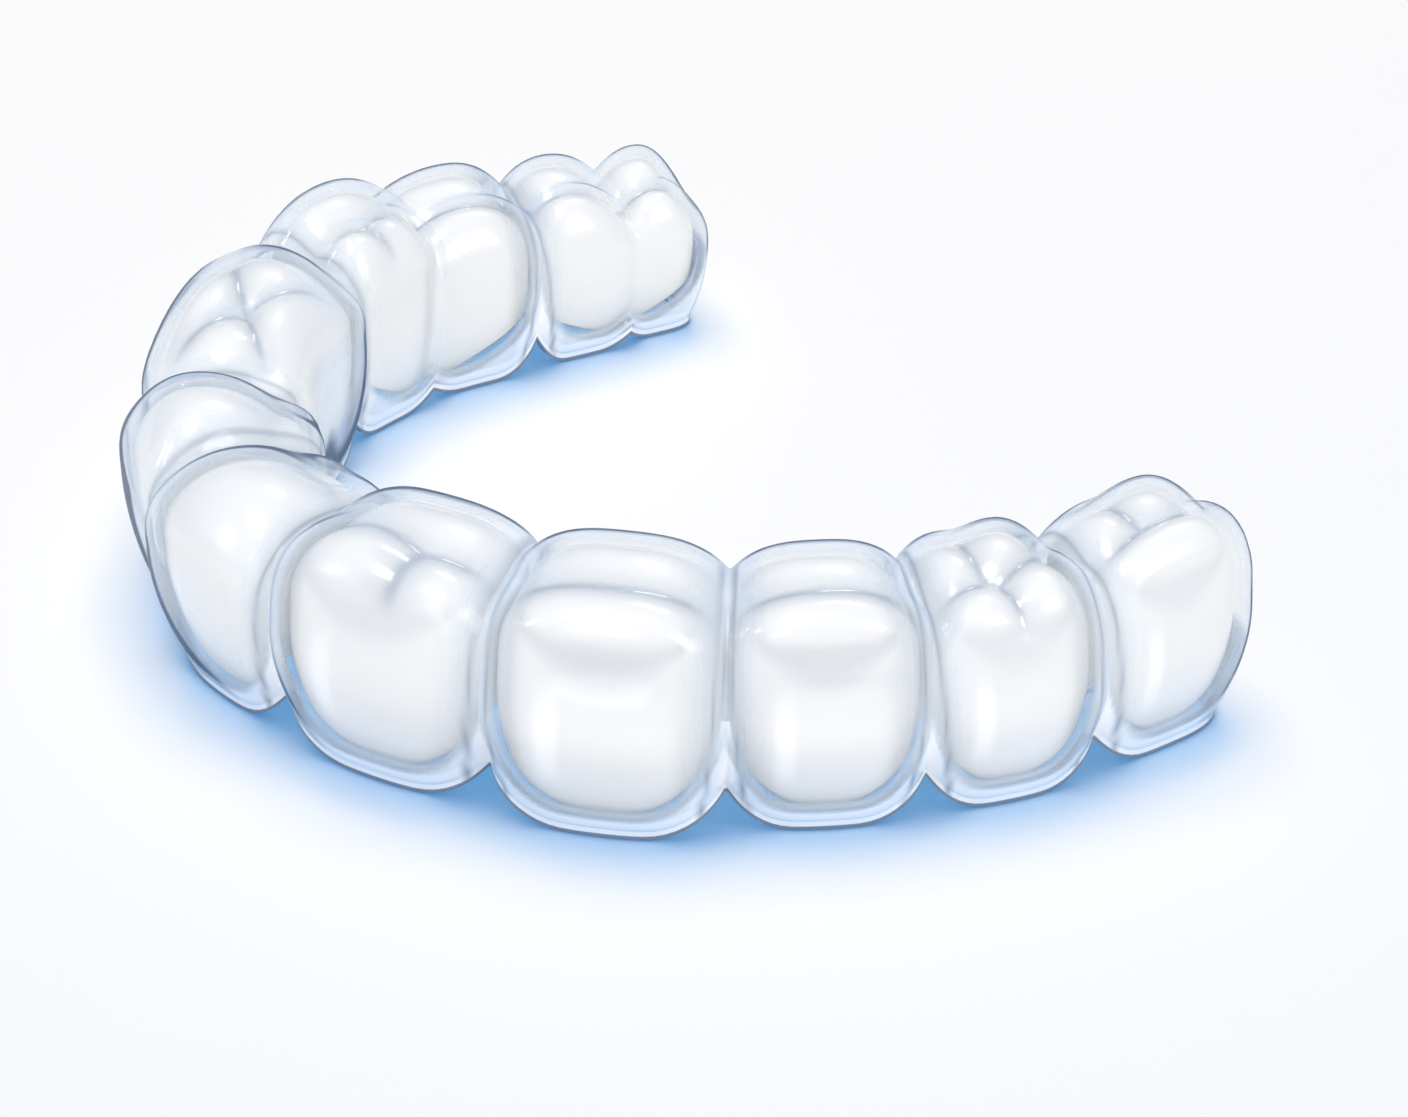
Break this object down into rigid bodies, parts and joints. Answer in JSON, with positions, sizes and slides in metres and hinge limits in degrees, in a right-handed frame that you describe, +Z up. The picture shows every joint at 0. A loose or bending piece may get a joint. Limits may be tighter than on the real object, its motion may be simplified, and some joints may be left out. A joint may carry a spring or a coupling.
{
  "type": "clear dental aligner",
  "caption": "Horseshoe-shaped clear aligner, a thin hollow shell with a cell for each tooth and a scalloped rim, seated over white tooth crowns.",
  "frame": {"origin": "middle of the bounding box seen from above, at the height of the rim's lowest points", "axes": "+Z up from the rim to the biting side, -Y to the front of the arch, +X to the long arm"},
  "size_m": [0.0538, 0.0438, 0.0131],
  "materials": {
    "aligner_shell": "clear, polished",
    "crowns": "glazed"
  },
  "bodies": {
    "root": {"aligner_shell": "aligner_shell", "crown_left_1": "crowns", "crown_left_2": "crowns", "crown_left_3": "crowns", "crown_left_4": "crowns", "crown_right_1": "crowns", "crown_right_2": "crowns", "crown_right_3": "crowns", "crown_right_4": "crowns", "crown_right_5": "crowns", "crown_right_6": "crowns"}
  },
  "joints": []
}
